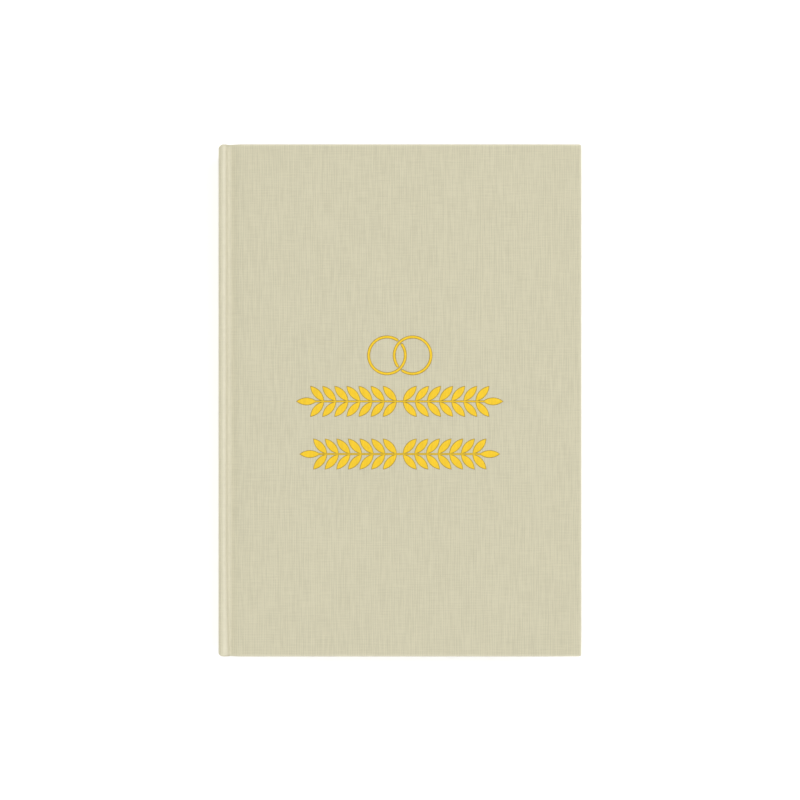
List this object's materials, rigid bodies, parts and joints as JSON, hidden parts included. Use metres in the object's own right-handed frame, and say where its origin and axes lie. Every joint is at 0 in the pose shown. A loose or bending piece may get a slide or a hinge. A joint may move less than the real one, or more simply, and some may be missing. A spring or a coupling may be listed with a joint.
{
  "type": "hardcover wedding planner book",
  "caption": "Case-bound A5 planner in ivory book cloth with gold foil ornament; it lies on its back cover and opens flat on two cloth joints, its sewn sections turning with the covers.",
  "frame": {"origin": "middle of the closed book's footprint, on the surface it lies on", "axes": "+Y towards the head of the book, +X from the spine to the fore-edge, +Z out of the front cover"},
  "size_m": [0.1532, 0.216, 0.0242],
  "materials": {
    "book_cloth": "fine linen-weave book cloth, matt, warm ivory",
    "gold_foil": "bright yellow-gold stamping foil, satin, over the weave",
    "grey_board": "pressed grey board",
    "endpaper": "uncoated cream endpaper",
    "leaf_paper": "uncoated cream text paper, cut edges",
    "band_silk": "woven striped band, cream and gold",
    "mull_cotton": "open-weave starched cotton",
    "linen_thread": "waxed sewing thread",
    "kraft_lining": "brown kraft paper"
  },
  "bodies": {
    "back_cover": {"back_board": "grey_board", "back_cover_cloth": "book_cloth", "back_pastedown": "endpaper"},
    "spine": {"spine_board": "grey_board", "spine_cloth": "book_cloth", "spine_lining": "kraft_lining", "mull": "mull_cotton", "sewing_thread": "linen_thread", "headband": "band_silk", "tailband": "band_silk", "front_joint_cloth": "book_cloth", "back_joint_cloth": "book_cloth", "front_endpaper_fold": "endpaper", "back_endpaper_fold": "endpaper", "section_01_fold": "leaf_paper", "section_02_fold": "leaf_paper", "section_03_fold": "leaf_paper", "section_04_fold": "leaf_paper", "section_05_fold": "leaf_paper", "section_06_fold": "leaf_paper", "section_07_fold": "leaf_paper", "section_08_fold": "leaf_paper", "section_09_fold": "leaf_paper", "section_10_fold": "leaf_paper", "section_11_fold": "leaf_paper", "section_12_fold": "leaf_paper"},
    "front_cover": {"front_board": "grey_board", "front_cover_cloth": "book_cloth", "front_pastedown": "endpaper", "cover_foil": "gold_foil"},
    "section_01": {"section_01": "leaf_paper", "front_flyleaf": "endpaper"},
    "section_02": {"section_02": "leaf_paper"},
    "section_03": {"section_03": "leaf_paper"},
    "section_04": {"section_04": "leaf_paper"},
    "section_05": {"section_05": "leaf_paper"},
    "section_06": {"section_06": "leaf_paper"},
    "section_07": {"section_07": "leaf_paper"},
    "section_08": {"section_08": "leaf_paper"},
    "section_09": {"section_09": "leaf_paper"},
    "section_10": {"section_10": "leaf_paper"},
    "section_11": {"section_11": "leaf_paper"},
    "section_12": {"section_12": "leaf_paper", "back_flyleaf": "endpaper"}
  },
  "joints": [
    {"name": "back_joint", "type": "hinge", "parent": "back_cover", "child": "spine", "pos_m": [-0.0732, 0, 0.0034], "axis": [0, -1, 0], "range_deg": [0, 90], "deforming": ["back_joint_cloth", "back_endpaper_fold", "mull"]},
    {"name": "front_joint", "type": "hinge", "parent": "spine", "child": "front_cover", "pos_m": [-0.0732, 0, 0.02072], "axis": [0, -1, 0], "range_deg": [0, 90], "deforming": ["front_joint_cloth", "front_endpaper_fold"]},
    {"name": "section_01_turn", "type": "hinge", "parent": "spine", "child": "section_01", "pos_m": [-0.07237, 0, 0.01991], "axis": [0, -1, 0], "range_deg": [0, 90], "deforming": ["section_01_fold"]},
    {"name": "section_02_turn", "type": "hinge", "parent": "spine", "child": "section_02", "pos_m": [-0.07167, 0, 0.01921], "axis": [0, -1, 0], "range_deg": [0, 90], "deforming": ["section_02_fold"]},
    {"name": "section_03_turn", "type": "hinge", "parent": "spine", "child": "section_03", "pos_m": [-0.07097, 0, 0.01852], "axis": [0, -1, 0], "range_deg": [0, 90], "deforming": ["section_03_fold"]},
    {"name": "section_04_turn", "type": "hinge", "parent": "spine", "child": "section_04", "pos_m": [-0.07027, 0, 0.01782], "axis": [0, -1, 0], "range_deg": [0, 90], "deforming": ["section_04_fold"]},
    {"name": "section_05_turn", "type": "hinge", "parent": "spine", "child": "section_05", "pos_m": [-0.06957, 0, 0.01711], "axis": [0, -1, 0], "range_deg": [0, 90], "deforming": ["section_05_fold"]},
    {"name": "section_06_turn", "type": "hinge", "parent": "spine", "child": "section_06", "pos_m": [-0.06887, 0, 0.01641], "axis": [0, -1, 0], "range_deg": [0, 90], "deforming": ["section_06_fold"]},
    {"name": "section_07_turn", "type": "hinge", "parent": "spine", "child": "section_07", "pos_m": [-0.06887, 0, 0.00771], "axis": [0, -1, 0], "range_deg": [-90, 0], "deforming": ["section_07_fold"]},
    {"name": "section_08_turn", "type": "hinge", "parent": "spine", "child": "section_08", "pos_m": [-0.06957, 0, 0.007], "axis": [0, -1, 0], "range_deg": [-90, 0], "deforming": ["section_08_fold"]},
    {"name": "section_09_turn", "type": "hinge", "parent": "spine", "child": "section_09", "pos_m": [-0.07027, 0, 0.0063], "axis": [0, -1, 0], "range_deg": [-90, 0], "deforming": ["section_09_fold"]},
    {"name": "section_10_turn", "type": "hinge", "parent": "spine", "child": "section_10", "pos_m": [-0.07097, 0, 0.0056], "axis": [0, -1, 0], "range_deg": [-90, 0], "deforming": ["section_10_fold"]},
    {"name": "section_11_turn", "type": "hinge", "parent": "spine", "child": "section_11", "pos_m": [-0.07167, 0, 0.0049], "axis": [0, -1, 0], "range_deg": [-90, 0], "deforming": ["section_11_fold"]},
    {"name": "section_12_turn", "type": "hinge", "parent": "spine", "child": "section_12", "pos_m": [-0.07237, 0, 0.00421], "axis": [0, -1, 0], "range_deg": [-90, 0], "deforming": ["section_12_fold"]}
  ],
  "couplings": [
    {"joint": "section_01_turn", "follows": "front_joint", "ratio": 1},
    {"joint": "section_02_turn", "follows": "front_joint", "ratio": 1},
    {"joint": "section_03_turn", "follows": "front_joint", "ratio": 1},
    {"joint": "section_04_turn", "follows": "front_joint", "ratio": 1},
    {"joint": "section_05_turn", "follows": "front_joint", "ratio": 1},
    {"joint": "section_06_turn", "follows": "front_joint", "ratio": 1},
    {"joint": "section_07_turn", "follows": "back_joint", "ratio": -1},
    {"joint": "section_08_turn", "follows": "back_joint", "ratio": -1},
    {"joint": "section_09_turn", "follows": "back_joint", "ratio": -1},
    {"joint": "section_10_turn", "follows": "back_joint", "ratio": -1},
    {"joint": "section_11_turn", "follows": "back_joint", "ratio": -1},
    {"joint": "section_12_turn", "follows": "back_joint", "ratio": -1}
  ]
}
